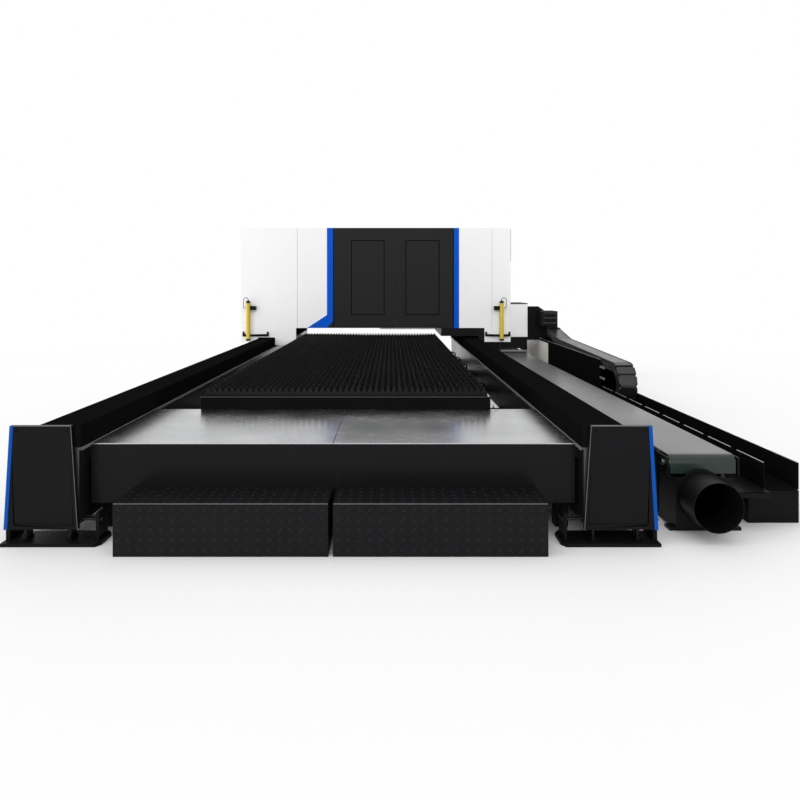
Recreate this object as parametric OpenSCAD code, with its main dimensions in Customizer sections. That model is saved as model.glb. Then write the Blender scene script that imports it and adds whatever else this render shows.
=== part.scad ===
// Ground-rail laser cutting machine: two rail beams on jack feet, a slat table between them,
// a gantry cabin that runs over the table, a belt-covered extraction trough and a cable chain.
// Millimetres. Worked in a frame with x = 0 midway between the rails, y = 0 at the front of
// the end caps and z = 0 at the floor, then set down so that the box's bottom centre is the origin.

/* [Rails] */
// overall length of the rails with their end caps
rail_length = 8870; // [7000:10:12000]
// distance between the two guide rails
guide_gauge = 3160; // [3000:10:3600]
// height of the rail beams' top face
beam_top = 558; // [520:1:640]
// height of the rail beams' underside
beam_bottom = 110; // [90:1:140]
// width of a rail beam
beam_width = 380; // [340:5:420]
// wall of the rail beams
beam_wall = 12; // [8:1:20]
// height of the dust cover over the beam's top
cover_height = 133; // [125:1:150]
// width of the dust cover
cover_width = 240; // [220:5:260]
// sheet of covers, caps and panels
sheet = 4; // [3:0.5:6]
// depth of an end cap along the rail
cap_depth = 30; // [20:5:100]
// number of feet under each rail
feet_per_rail = 5; // [3:1:8]

/* [Deck and table] */
// length of the front deck
deck_length = 1145; // [800:5:1500]
// length of the slat table
table_length = 6310; // [5000:10:6500]
// width of the slat table
table_width = 2216; // [1900:4:2220]
// height of the slat tips
slat_top = 717; // [700:1:730]
// height of a slat from its seat to its tips
slat_height = 147; // [120:1:150]
// thickness of a slat
slat_thick = 6; // [4:0.5:10]
// number of slats
slat_count = 31; // [20:1:40]
// teeth along one slat
tooth_count = 47; // [20:1:50]
// height of a tooth
tooth_height = 42; // [25:1:50]
// width of one step
step_width = 1195; // [900:5:1210]
// height of the steps
step_height = 294; // [200:1:300]
// depth of the steps
step_depth = 315; // [250:5:350]

/* [Gantry] */
// clear rail behind the gantry where it is parked
park_gap = 670; // [600:10:1200]
// depth of the gantry cabin
gantry_depth = 1500; // [1450:10:1600]
// height of the gantry over the floor
gantry_top = 2400; // [2200:10:2700]
// left outer face, from the centre line
cabin_left = 1979; // [1950:1:2050]
// right outer face, from the centre line
cabin_right = 2200; // [2150:1:2250]
// lower edge of the front panels
cabin_bottom = 849; // [830:1:900]
// left edge of the door opening, from the centre line
door_left_edge = 552; // [500:1:640]
// right edge of the door opening, from the centre line
door_right_edge = 1324; // [1200:1:1400]
// thickness of doors and panels
panel = 30; // [25:1:40]
// thickness of a door leaf
door_thick = 40; // [30:1:50]
// gap around the door leaves
door_gap = 3; // [2:0.5:6]
// radius of the door pivots
pivot_r = 8; // [6:0.5:10]

/* [Extraction trough] */
// centre of the trough, from the centre line
duct_x = 2260; // [2255:1:2300]
// width of the trough
duct_width = 350; // [320:2:360]
// width of the belt that covers it
belt_width = 400; // [380:2:404]
// height of the belt's top
belt_top = 460; // [450:1:465]
// outer radius of the outlet collar
outlet_r = 147; // [120:1:150]
// height of the outlet's axis
outlet_z = 217; // [200:1:220]

/* [Cable chain] */
// centre of the cable chain, from the centre line
chain_x = 2790; // [2780:1:2830]
// width of the chain
chain_width = 190; // [150:2:196]
// height of a chain link
link_height = 100; // [90:1:104]
// length of a chain link
link_pitch = 100; // [90:1:110]
// bend radius at the middle of the chain
bend_r = 180; // [175:1:185]
// where the loop's centre stands when the gantry is parked
loop_y = 3340; // [3300:10:3400]

/* [Hidden] */
$fn = 48;
eps = 0.01;
slide_gap = 0.5;
run_gap = 0.05;

// rails
guide_x = guide_gauge / 2;
beam_inner = guide_x - 110;
beam_outer = beam_inner + beam_width;
top_plate = 13;
ledge = 18;
cover_top = beam_top + cover_height;
cover_inner = guide_x - 120;
cover_outer = cover_inner + cover_width;
beam_y0 = cap_depth;
beam_y1 = rail_length - cap_depth;
cap_bottom = 90;
cap_profile = [
    [guide_x - 115, cap_bottom],
    [guide_x + 310, cap_bottom],
    [guide_x + 275, cover_top],
    [guide_x - 75, cover_top]
];
trim_width = 18;
guide_w = 34;
guide_h = 30;
rack_x = guide_x + 150;
rack_w = 30;
foot_x0 = guide_x - 250;
foot_x1 = guide_x + 320;
foot_length = 220;
foot_thick = 20;
foot_overhang = 30;
foot_pitch = (rail_length + 2 * foot_overhang - foot_length) / (feet_per_rail - 1);
anchor_x = guide_x - 150;
anchor_r = 11;
screw_in = 85;
foot_clear = cap_depth + foot_overhang + 5;

// deck and table
deck_y0 = cap_depth + 115;
deck_y1 = deck_y0 + deck_length;
deck_plate = 6;
deck_half = beam_inner - ledge - 2;
table_y0 = deck_y1;
table_y1 = table_y0 + table_length;
table_half = table_width / 2;
slat_seat = slat_top - slat_height;
table_bottom = slat_seat - 14;
table_rim = table_bottom + 93;
slat_half = table_half - 18;
slat_pitch = (table_length - 100) / (slat_count - 1);
comb_x = table_half - 58;
tube = 100;
tie_z = 190;
tie_top = tie_z + tube;
tie_count = 5;
tie_pitch = (table_length - 260) / (tie_count - 1);
tray_gap = 10;
tray_count = 3;
tray_half = table_half - tube - tray_gap;
tray_pitch = (table_length - 40) / tray_count;
pipe_r = 9;
pipe_x = table_half + 152;
pipe_z = table_bottom + 5;
header_r = 30;
step_gap = 25;
step_centre = 12;
step_y0 = deck_y0 - step_depth;

// gantry
gantry_back = rail_length - park_gap;
gantry_y = gantry_back - gantry_depth;
leg_inner = table_half + 17;
leg_bottom = 585;
seam_left = 1103;
seam_right = 1913;
trim_right_edge = door_right_edge + 77;
trim_left_edge = door_left_edge + 93;
door_mid = (door_right_edge - door_left_edge) / 2 + 23;
door_z0 = cabin_bottom + 26;
door_z1 = gantry_top - 15;
pivot_y = gantry_y + door_thick / 2;
saddle_z = beam_top + 60;
saddle_t = 30;
saddle_y0 = gantry_y + 180;
saddle_y1 = gantry_back - 180;
block_w = 90;
block_l = 140;
block_in = 40;
column_x0 = guide_x + 135;
column_x1 = guide_x + 255;
column_y0 = gantry_y + 550;
column_y1 = gantry_y + 950;
beam_z0 = 1350;
beam_z1 = 1750;
pinion_r = 38;
pinion_x = rack_x + rack_w + pinion_r + slide_gap;
pinion_y = gantry_y + 300;
shaft_r = 12;
cover_slot = 12;
skirt_z = cover_top + 34;
tab_x = guide_x + 215;
tab_low = 634;
hood_top = 709;
cabinet_w = 270;
head_x = 0;
carriage_half = 150;
carriage_y = column_y0 - 24;
nozzle_z = 830;

// curtain posts
post_r = 30;
post_z0 = 663;
post_z1 = 1267;
post_left = -1843;
post_right = 2044;
post_y = gantry_y - 80 - post_r;

// extraction trough
duct_x0 = duct_x - duct_width / 2;
duct_x1 = duct_x + duct_width / 2;
duct_y0 = 220;
duct_y1 = rail_length - 170;
duct_wall = 6;
duct_z0 = 20;
flange_half = belt_width / 2 + 10;
belt_t = 10;
flange_z = belt_top - belt_t;
roller_r = 40;
roller_gap = 0.3;
belt_drop = 60;
end_roller_y0 = duct_y0 + 70;
end_roller_y1 = duct_y1 - 70;
end_roller_z = flange_z - roller_r;
nose_length = 146;
nose_top = 330;
outlet_x = duct_x - 20;
outlet_wall = 4;
outlet_length = 230;
hood_y0 = gantry_y + 60;
hood_y1 = gantry_y + 960;
hood_half = 208;
press_r = 25;
press_z = belt_top + press_r + 0.3;
press_y0 = hood_y0 + press_r;
press_y1 = hood_y1 - press_r;
axle_r = 8;

// cable chain
trough_half = chain_width / 2 + 15;
trough_z = 227;
trough_floor = trough_z + duct_wall;
trough_low = 392;
trough_high = 680;
trough_y0 = 330;
trough_mid = loop_y + 370;
trough_y1 = gantry_back - 200;
loop_z = trough_floor + 1 + link_height / 2 + bend_r;
shelf_z = loop_z + bend_r - link_height / 2 - 10;
run_top = loop_z + bend_r;
ramp_y = gantry_y - 990;
ramp_z = run_top + 65;
hang_y = gantry_y - 310;
hang_z = ramp_z + 106;
grey_y0 = hang_y - 130;
grey_z0 = trough_z + 73;
hang_x0 = chain_x - 165;
hang_x1 = chain_x + 65;
hanger_z0 = hang_z + 85;
hanger_z1 = hang_z + 305;
join_low = 8.6;
join_high = 7.5;
stand_x1 = chain_x + 140;

// the box round everything, for the origin
box_x0 = -cabin_left;
box_x1 = stand_x1;
box_y0 = step_y0;
box_y1 = rail_length + foot_overhang;
origin_x = (box_x0 + box_x1) / 2;
origin_y = (box_y0 + box_y1) / 2;

black = [0.11, 0.11, 0.12];
white = [0.9, 0.9, 0.9];
blue = [0.04, 0.35, 0.76];
steel = [0.6, 0.6, 0.6];
dark = [0.16, 0.16, 0.16];
yellow = [0.77, 0.68, 0.21];

// shared helpers

// moves the working frame to the origin at the box's bottom centre
module put() {
    translate([-origin_x, -origin_y, 0])
        children();
}

// a box from one corner to the opposite one
module span(a, b) {
    translate(a)
        cube(b - a);
}

// a profile in x and z, drawn from y0 to y1
module along_y(y0, y1) {
    translate([0, y1, 0])
        rotate([90, 0, 0])
            linear_extrude(y1 - y0)
                children();
}

// a profile in y and z, drawn from x0 to x1
module along_x(x0, x1) {
    translate([x0, 0, 0])
        rotate([90, 0, 90])
            linear_extrude(x1 - x0)
                children();
}

// the same piece on both sides of the centre line
module both_sides() {
    children();
    mirror([1, 0, 0])
        children();
}

// a rectangle with a rectangular hole, for tubes
module tube_profile(x0, z0, x1, z1, wall) {
    difference() {
        translate([x0, z0])
            square([x1 - x0, z1 - z0]);
        translate([x0 + wall, z0 + wall])
            square([x1 - x0 - 2 * wall, z1 - z0 - 2 * wall]);
    }
}

// rails

// one hollow beam with its wider top plate and closed ends
module rail_beam() {
    color(black) {
        along_y(beam_y0, beam_y1)
            tube_profile(beam_inner, beam_bottom, beam_outer, beam_top - top_plate, beam_wall);
        span([beam_inner - ledge, beam_y0, beam_top - top_plate], [beam_outer, beam_y1, beam_top]);
        for (y = [beam_y0, beam_y1 - beam_wall])
            span([beam_inner, y, beam_bottom], [beam_outer, y + beam_wall, beam_top - top_plate]);
    }
}

module rail_beam_left() {
    put() mirror([1, 0, 0]) rail_beam();
}

module rail_beam_right() {
    put() rail_beam();
}

// guide rails with the side grooves that the blocks run in
module guide_rails() {
    color(steel)
        put() both_sides()
            along_y(beam_y0 + 35, beam_y1 - 35)
                translate([guide_x, beam_top])
                    polygon([
                        [-guide_w / 2, 0], [guide_w / 2, 0], [guide_w / 2, 10],
                        [guide_w / 2 - 5, 15], [guide_w / 2, 20], [guide_w / 2, guide_h],
                        [-guide_w / 2, guide_h], [-guide_w / 2, 20], [5 - guide_w / 2, 15],
                        [-guide_w / 2, 10]
                    ]);
}

// rack bars, with the fine teeth left smooth
module gear_racks() {
    color(steel)
        put() both_sides()
            span([rack_x, beam_y0 + 35, beam_top],
                 [rack_x + rack_w, beam_y1 - 35, beam_top + rack_w]);
}

// a folded cover, open on its outer side for the gantry's saddle
module rail_cover() {
    color(black)
        along_y(beam_y0, beam_y1)
            polygon([
                [cover_inner, beam_top], [cover_inner, cover_top], [cover_outer, cover_top],
                [cover_outer, cover_top - 23], [cover_outer - sheet, cover_top - 23],
                [cover_outer - sheet, cover_top - sheet], [cover_inner + sheet, cover_top - sheet],
                [cover_inner + sheet, beam_top]
            ]);
}

module rail_cover_left() {
    put() mirror([1, 0, 0]) rail_cover();
}

module rail_cover_right() {
    put() rail_cover();
}

// the cap's outline, drawn in by a margin on the sides and the bottom and top
module cap_outline(margin) {
    polygon([
        cap_profile[0] + [margin, margin], cap_profile[1] + [-margin, margin],
        cap_profile[2] + [-margin, -margin], cap_profile[3] + [margin, -margin]
    ]);
}

// a folded trapezoid cap, open at the back and underneath
module end_cap() {
    difference() {
        along_y(0, cap_depth)
            cap_outline(0);
        along_y(sheet, cap_depth + 1)
            cap_outline(sheet);
        for (x = [guide_x - 85, guide_x + 255])
            translate([x, -1, cap_bottom + 30])
                rotate([-90, 0, 0])
                    cylinder(r = 4, h = sheet + 2);
    }
}

module front_end_caps() {
    color(black)
        put() both_sides() end_cap();
}

module rear_end_caps() {
    color(black)
        put() both_sides()
            translate([0, rail_length, 0])
                mirror([0, 1, 0]) end_cap();
}

// the coloured strip on the outer edge of each cap's face, folded round its side
module cap_trim() {
    along_y(-3, cap_depth)
        polygon([
            cap_profile[1], cap_profile[1] + [3, 0],
            cap_profile[2] + [3, 0], cap_profile[2]
        ]);
    along_y(-3, 0)
        polygon([
            cap_profile[1] + [-trim_width, 0], cap_profile[1] + [3, 0],
            cap_profile[2] + [3, 0], cap_profile[2] + [-trim_width, 0]
        ]);
}

module cap_trims() {
    color(blue)
        put() both_sides() {
            cap_trim();
            translate([0, rail_length, 0])
                mirror([0, 1, 0]) cap_trim();
        }
}

// one foot: a floor plate with two uprights, between y0 and y1, that hold the beam sideways
module foot(y0, y1) {
    difference() {
        union() {
            linear_extrude(foot_thick)
                polygon([
                    [foot_x0 + 25, 0], [foot_x1, 0], [foot_x1, foot_length],
                    [foot_x0 + 25, foot_length], [foot_x0, foot_length - 40], [foot_x0, 40]
                ]);
            span([foot_x1 - 25, y0, 0], [foot_x1, y1, 155]);
            span([foot_x0 + 25, max(y0, 30), 0], [foot_x0 + 45, min(y1, foot_length - 30), 175]);
        }
        translate([anchor_x, foot_length / 2, -1])
            cylinder(r = anchor_r, h = foot_thick + 2);
        for (x = [foot_x1 - 25, foot_x0 + 25], y = [screw_in, foot_length - screw_in])
            translate([x - 1, y, beam_bottom + 25])
                rotate([0, 90, 0])
                    cylinder(r = 8, h = 30);
    }
}

// copies at each foot along both rails
module at_feet() {
    both_sides()
        for (i = [0 : feet_per_rail - 1])
            translate([0, i * foot_pitch - foot_overhang, 0])
                children();
}

// the uprights of the end feet stand clear of the end caps
module feet() {
    color(black)
        put() both_sides() {
            translate([0, -foot_overhang, 0])
                foot(foot_clear, foot_length);
            for (i = [1 : feet_per_rail - 2])
                translate([0, i * foot_pitch - foot_overhang, 0])
                    foot(0, foot_length);
            translate([0, (feet_per_rail - 1) * foot_pitch - foot_overhang, 0])
                foot(0, foot_length - foot_clear);
        }
}

// jack bolts under the beam and set screws against its sides
module foot_bolts() {
    for (x = [beam_inner + 60, beam_outer - 60], y = [screw_in, foot_length - screw_in])
        translate([x, y, foot_thick]) {
            cylinder(r = 12, h = beam_bottom - foot_thick);
            cylinder(r = 21, h = 16, $fn = 6);
            translate([0, 0, beam_bottom - foot_thick - 18])
                cylinder(r = 21, h = 18, $fn = 6);
        }
    for (y = [screw_in, foot_length - screw_in])
        translate([0, y, beam_bottom + 25])
            rotate([0, 90, 0]) {
                translate([0, 0, beam_outer])
                    cylinder(r = 8, h = foot_x1 - beam_outer);
                translate([0, 0, foot_x1])
                    cylinder(r = 14, h = 10, $fn = 6);
                translate([0, 0, foot_x0 + 25])
                    cylinder(r = 8, h = beam_inner - foot_x0 - 25);
                translate([0, 0, foot_x0 + 15])
                    cylinder(r = 14, h = 10, $fn = 6);
            }
}

module jack_bolts() {
    color(steel)
        put() at_feet() foot_bolts();
}

// deck and table

module deck_plates() {
    color(steel)
        put() both_sides()
            span([1.5, deck_y0, beam_top - deck_plate], [deck_half, deck_y1, beam_top]);
}

// the front sheet with its two folded edges
module deck_front_panel() {
    color(steel)
        put()
            along_x(-deck_half, deck_half)
                polygon([
                    [deck_y0, 200], [deck_y0 + 40, 200], [deck_y0 + 40, 200 + sheet],
                    [deck_y0 + sheet, 200 + sheet], [deck_y0 + sheet, beam_top - deck_plate],
                    [deck_y0, beam_top - deck_plate]
                ]);
}

// square tubes under the deck plates, on legs
module deck_frame() {
    z1 = beam_top - deck_plate;
    y0 = deck_y0 + sheet;
    color(black)
        put() {
            for (y = [y0, (y0 + deck_y1 - 80) / 2, deck_y1 - 80])
                span([-beam_inner, y, z1 - 80], [beam_inner, y + 80, z1 - top_plate]);
            for (y = [y0, (y0 + deck_y1 - 80) / 2, deck_y1 - 80])
                span([-deck_half, y, z1 - 80], [deck_half, y + 80, z1]);
            both_sides()
                for (x = [-40, deck_half - 80]) {
                    span([x, y0, z1 - 80], [x + 80, deck_y1, z1]);
                    for (y = [y0 + 160, deck_y1 - 80])
                        span([x, y, 0], [x + 80, y + 80, z1 - 40]);
                }
        }
}

// rim plates, two comb plates that the slats drop into and bars that carry the combs
module table_frame() {
    rim = 10;
    color(black)
        put()
            difference() {
                union() {
                    difference() {
                        span([-table_half, table_y0, table_bottom], [table_half, table_y1, table_rim]);
                        span([rim - table_half, table_y0 + rim, table_bottom - 1],
                             [table_half - rim, table_y1 - rim, table_rim + 1]);
                    }
                    both_sides()
                        span([comb_x, table_y0 + eps, table_bottom],
                             [comb_x + rim, table_y1 - eps, table_rim - 15]);
                    both_sides()
                        span([comb_x, table_y0 + eps, table_bottom],
                             [table_half - eps, table_y1 - eps, table_bottom + 10]);
                }
                for (i = [0 : slat_count - 1])
                    translate([0, table_y0 + 50 + i * slat_pitch, slat_seat])
                        both_sides()
                            span([comb_x - 1, -slat_thick / 2 - 0.5, 0],
                                 [comb_x + rim + 1, slat_thick / 2 + 0.5, 200]);
            }
}

// one slat with its row of teeth
module slat_profile() {
    pitch = 2 * slat_half / tooth_count;
    points = [
        for (i = [0 : tooth_count - 1], step = [0, 1])
            [slat_half - (i + step / 2) * pitch, slat_top - (1 - step) * tooth_height]
    ];
    polygon(concat(
        [[-slat_half, slat_seat], [slat_half, slat_seat]],
        points,
        [[-slat_half, slat_top - tooth_height]]
    ));
}

module slats() {
    color(steel)
        put()
            for (i = [0 : slat_count - 1])
                translate([0, table_y0 + 50 + i * slat_pitch, 0])
                    along_y(-slat_thick / 2, slat_thick / 2)
                        slat_profile();
}

// open pans under the slats
module slag_trays() {
    color(dark)
        put()
            for (i = [0 : tray_count - 1])
                translate([0, table_y0 + 20 + i * tray_pitch, 0])
                    difference() {
                        span([-tray_half, 5, tie_top], [tray_half, tray_pitch - 5, tie_top + 140]);
                        span([sheet - tray_half, 5 + sheet, tie_top + sheet],
                             [tray_half - sheet, tray_pitch - 5 - sheet, tie_top + 141]);
                    }
}

// long tubes under the table on short legs, and ties across to the rail beams, seated on each other
module bed_frame() {
    x0 = table_half - tube;
    color(black)
        put() {
            both_sides()
                along_y(table_y0 + 5, table_y1)
                    tube_profile(x0, table_bottom - tube, table_half, table_bottom, 8);
            for (i = [0 : tie_count - 1])
                translate([0, table_y0 + 130 + i * tie_pitch, 0]) {
                    span([-beam_inner, -tube / 2, tie_z], [beam_inner, tube / 2, tie_top]);
                    both_sides() {
                        span([x0, -tube / 2, 0], [table_half, tube / 2, tie_z - run_gap]);
                        span([x0, -tube / 2, tie_top + run_gap],
                             [table_half, tube / 2, table_bottom - tube - run_gap]);
                    }
                }
        }
}

// elbows from the table's side down to a header pipe
module air_pipes() {
    ys = [for (share = [0.225, 0.365, 0.48, 0.605, 0.715]) table_y0 + share * table_length];
    bend = 40;
    color(black)
        put() {
            for (y = ys) {
                translate([table_half, y, pipe_z])
                    rotate([0, 90, 0])
                        cylinder(r = pipe_r, h = pipe_x - bend - table_half);
                translate([pipe_x - bend, y, pipe_z - bend])
                    rotate([90, 0, 0])
                        rotate_extrude(angle = 90)
                            translate([bend, 0])
                                circle(r = pipe_r);
                translate([pipe_x, y, tie_z - header_r])
                    cylinder(r = pipe_r, h = pipe_z - bend - tie_z + header_r);
            }
            translate([pipe_x, ys[0] - 100, tie_z - header_r])
                rotate([-90, 0, 0])
                    cylinder(r = header_r, h = ys[4] - ys[0] + 400);
        }
}

// a folded tread-plate step, open underneath
module step_box(x) {
    color(dark)
        put()
            difference() {
                span([x, step_y0, 0], [x + step_width, deck_y0, step_height]);
                span([x + sheet, step_y0 + sheet, -1],
                     [x + step_width - sheet, deck_y0 - sheet, step_height - sheet]);
            }
}

module step_left() {
    step_box(step_centre - step_gap / 2 - step_width);
}

module step_right() {
    step_box(step_centre + step_gap / 2);
}

// extraction trough

// the low box under an end roller, from y = 0 back to the open trough
module duct_nose() {
    difference() {
        span([duct_x0, 0, duct_z0], [duct_x1, nose_length + duct_wall, nose_top]);
        span([duct_x0 + duct_wall, duct_wall, duct_z0 + duct_wall],
             [duct_x1 - duct_wall, nose_length + duct_wall + 1, nose_top - duct_wall]);
    }
    span([duct_x0, nose_length, nose_top - duct_wall],
         [duct_x1, nose_length + duct_wall, flange_z - 8]);
}

module duct_trough() {
    color(black)
        put() difference() {
            union() {
                // the long open trough with its flanges
                along_y(duct_y0 + nose_length, duct_y1 - nose_length)
                    polygon([
                        [duct_x0, duct_z0], [duct_x1, duct_z0], [duct_x1, flange_z - 8],
                        [duct_x + flange_half, flange_z - 8], [duct_x + flange_half, flange_z],
                        [duct_x1 - duct_wall, flange_z],
                        [duct_x1 - duct_wall, duct_z0 + duct_wall],
                        [duct_x0 + duct_wall, duct_z0 + duct_wall], [duct_x0 + duct_wall, flange_z],
                        [duct_x - flange_half, flange_z], [duct_x - flange_half, flange_z - 8],
                        [duct_x0, flange_z - 8]
                    ]);
                // a lower nose at each end, under the end roller
                translate([0, duct_y0, 0])
                    duct_nose();
                translate([0, duct_y1, 0])
                    mirror([0, 1, 0])
                        duct_nose();
                // feet bars
                for (i = [0 : 5])
                    translate([0, duct_y0 + 20 + i * (duct_y1 - duct_y0 - 120) / 5, 0])
                        span([duct_x0 - 30, 0, 0], [duct_x1 + 60, 80, duct_z0]);
            }
            translate([outlet_x, duct_y0 - 1, outlet_z])
                rotate([-90, 0, 0])
                    cylinder(r = outlet_r - outlet_wall, h = duct_wall + 2);
        }
}

// the round outlet with its flange
module outlet_collar() {
    color(black)
        put()
            translate([outlet_x, duct_y0, outlet_z])
                rotate([90, 0, 0])
                    difference() {
                        union() {
                            cylinder(r = outlet_r, h = outlet_length);
                            cylinder(r = outlet_r + 14, h = 8);
                        }
                        translate([0, 0, -1])
                            cylinder(r = outlet_r - outlet_wall, h = outlet_length + 2);
                    }
}

// the belt's outline round both end rollers, at some radius, down to some drop below them
module belt_outline(r, drop) {
    translate([end_roller_y0, end_roller_z - drop])
        square([end_roller_y1 - end_roller_y0, drop + r]);
    for (y = [end_roller_y0, end_roller_y1])
        translate([y, end_roller_z])
            circle(r = r);
    for (y = [end_roller_y0 - r, end_roller_y1])
        translate([y, end_roller_z - drop])
            square([r, drop]);
}

// the flat belt, turned down over a roller at each end
module belt() {
    color([0.16, 0.22, 0.2])
        put()
            along_x(duct_x - belt_width / 2, duct_x + belt_width / 2)
                difference() {
                    belt_outline(roller_r + belt_t, belt_drop);
                    belt_outline(roller_r, belt_drop + 1);
                }
}

module belt_end_rollers() {
    half = flange_half - 8;
    color(steel)
        put()
            for (y = [end_roller_y0, end_roller_y1])
                translate([duct_x - half, y, end_roller_z])
                    rotate([0, 90, 0]) {
                        cylinder(r = roller_r - roller_gap, h = 2 * half);
                        translate([0, 0, -18])
                            cylinder(r = 12, h = 2 * half + 36);
                    }
}

// side plates that carry the end rollers
module belt_brackets() {
    color(black)
        put()
            for (end = [[end_roller_y0, 55, 130], [end_roller_y1, 130, 55]], side = [-1, 1])
                translate([duct_x + side * (flange_half + 6), end[0], end_roller_z])
                    difference() {
                        span([-6, -end[1], -75], [6, end[2], 38]);
                        rotate([0, 90, 0])
                            cylinder(r = 12, h = 20, center = true);
                    }
}

// cable chain troughs

module chain_trough_low() {
    color(black)
        put()
            along_y(trough_y0, trough_mid)
                difference() {
                    translate([chain_x - trough_half, trough_z])
                        square([2 * trough_half, trough_low - trough_z]);
                    translate([chain_x - trough_half + duct_wall, trough_floor])
                        square([2 * (trough_half - duct_wall), trough_low]);
                }
}

// the higher half, with the shelf that the upper run lies on
module chain_trough_high() {
    color(black)
        put()
            along_y(trough_mid, trough_y1)
                difference() {
                    translate([chain_x - trough_half, trough_z])
                        square([2 * trough_half, trough_high - trough_z]);
                    translate([chain_x - trough_half + duct_wall, trough_floor])
                        square([2 * (trough_half - duct_wall), shelf_z - duct_wall - trough_floor]);
                    translate([chain_x - trough_half + duct_wall, shelf_z])
                        square([2 * (trough_half - duct_wall), trough_high]);
                }
}

module trough_panel() {
    color(steel)
        put()
            span([chain_x - trough_half - 8, grey_y0, grey_z0],
                 [chain_x - trough_half, trough_y1, trough_high - 30]);
}

// an end box and plain stands under the troughs, and a short post at the front
module trough_stands() {
    color(black)
        put() {
            for (i = [0 : 5])
                translate([0, trough_y0 + 50 + i * (trough_y1 - trough_y0 - 150) / 5, 0]) {
                    span([chain_x - 180, 0, 0], [stand_x1, 100, trough_z - 22]);
                    span([chain_x - 100, 10, trough_z - 30], [chain_x + 100, 90, trough_z]);
                }
            span([stand_x1 - 25, trough_y0 + 60, trough_z - 30], [stand_x1, trough_y0 + 100, 320]);
        }
}

// one chain link: two side plates joined by a bar inside the bend and a wide lid outside it
module chain_link() {
    half = chain_width / 2;
    long = link_pitch - 6;
    side = 18;
    for (x = [-half, half - side])
        translate([x, 0, 0])
            along_x(0, side)
                polygon([
                    [-long / 2, -link_height / 2 + 14], [14 - long / 2, -link_height / 2],
                    [long / 2 - 14, -link_height / 2], [long / 2, -link_height / 2 + 14],
                    [long / 2, link_height / 2 - 14], [long / 2 - 14, link_height / 2],
                    [14 - long / 2, link_height / 2], [-long / 2, link_height / 2 - 14]
                ]);
    for (bar = [[22, -link_height / 2 + 4], [44, link_height / 2 - 16]])
        span([side - half - 1, -bar[0], bar[1]], [half - side + 1, bar[0], bar[1] + 12]);
    for (x = [-half, half - 12])
        span([x, long / 2 - 12, -10], [x + 12, long / 2 + 8, 10]);
}

// links set along a straight stretch from one point to another, in y and z
module link_run(a, b) {
    count = max(1, round(norm(b - a) / link_pitch));
    tilt = atan2(b[1] - a[1], b[0] - a[0]);
    for (i = [0 : count - 1])
        translate([chain_x, a[0] + (i + 0.5) * (b[0] - a[0]) / count,
                   a[1] + (i + 0.5) * (b[1] - a[1]) / count])
            rotate([tilt, 0, 0])
                chain_link();
}

module chain_lower() {
    color(dark)
        put()
            link_run([loop_y + join_low + 400, loop_z - bend_r], [loop_y + join_low, loop_z - bend_r]);
}

module chain_upper() {
    color(dark)
        put() {
            link_run([loop_y + join_high, run_top], [ramp_y, ramp_z]);
            link_run([ramp_y, ramp_z], [hang_y, hang_z]);
        }
}

// six links round the bend
module chain_loop() {
    color(dark)
        put()
            for (i = [0 : 5])
                translate([chain_x, loop_y, loop_z])
                    rotate([255 - 30 * i, 0, 0])
                        translate([0, bend_r, 0])
                            rotate([-90, 0, 0])
                                chain_link();
}

// gantry

// saddle plate, column and gusset on one side
module end_truck() {
    difference() {
        union() {
            span([guide_x - 60, saddle_y0, saddle_z], [column_x1, saddle_y1, saddle_z + saddle_t]);
            along_y(column_y0, column_y1)
                tube_profile(column_x0, saddle_z + saddle_t - 5, column_x1, beam_z0, 12);
            for (y = [column_y0, column_y1 - 12])
                span([column_x0, y, saddle_z + 20], [column_x1, y + 12, beam_z0]);
            span([column_x0, column_y0 - 120, saddle_z + 20],
                 [column_x0 + 15, column_y1 + 120, saddle_z + 160]);
        }
        translate([pinion_x, pinion_y, saddle_z - 1])
            cylinder(r = 2 * shaft_r, h = saddle_t + 2);
    }
}

module end_trucks() {
    color(black)
        put() both_sides() end_truck();
}

// box beam across the gantry, with the two rails that the head runs on
module cross_beam() {
    color(white)
        put() {
            along_x(-column_x1 - 25, column_x1 + 25)
                tube_profile(column_y0, beam_z0, column_y1, beam_z1, 12);
            for (x = [-column_x1 - 25, column_x1 + 13])
                span([x, column_y0, beam_z0], [x + 12, column_y1, beam_z1]);
            for (z = [beam_z0 + 60, beam_z1 - 60])
                span([-column_x0, column_y0 - 20, z - 15], [column_x0, column_y0 + 1, z + 15]);
            // brackets out to the side walls of the cabin
            span([panel - cabin_left, column_y0 + 120, beam_z0 + 100],
                 [-column_x1 - 20, column_y1 - 120, beam_z1 - 100]);
            span([column_x1 + 20, column_y0 + 120, beam_z0 + 100],
                 [cabin_right - panel, column_y1 - 120, beam_z1 - 100]);
        }
}

// runner blocks on the guide rails
module bearing_blocks() {
    color(steel)
        put() both_sides()
            for (y = [saddle_y0 + block_in, saddle_y1 - block_in - block_l])
                along_y(y, y + block_l)
                    translate([guide_x, beam_top])
                        difference() {
                            translate([-block_w / 2, 8])
                                square([block_w, saddle_z - beam_top - 8]);
                            translate([-guide_w / 2 - slide_gap, 0])
                                square([guide_w + 2 * slide_gap, guide_h + slide_gap]);
                        }
}

// gear motors that stand on the saddles
module drive_motors() {
    color(dark)
        put() both_sides()
            translate([pinion_x, pinion_y, saddle_z + saddle_t])
                difference() {
                    union() {
                        cylinder(r = 55, h = 100);
                        span([-65, -65, 100], [65, 65, 112]);
                        span([-60, -60, 110], [60, 60, 320]);
                    }
                    translate([0, 0, -1])
                        cylinder(r = shaft_r + run_gap, h = 41);
                }
}

module pinion() {
    color(steel)
        translate([pinion_x, pinion_y, beam_top + 4]) {
            cylinder(r = pinion_r, h = rack_w);
            cylinder(r = shaft_r, h = saddle_z + saddle_t - beam_top + 30);
        }
}

module pinion_left() {
    put() mirror([1, 0, 0]) pinion();
}

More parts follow.
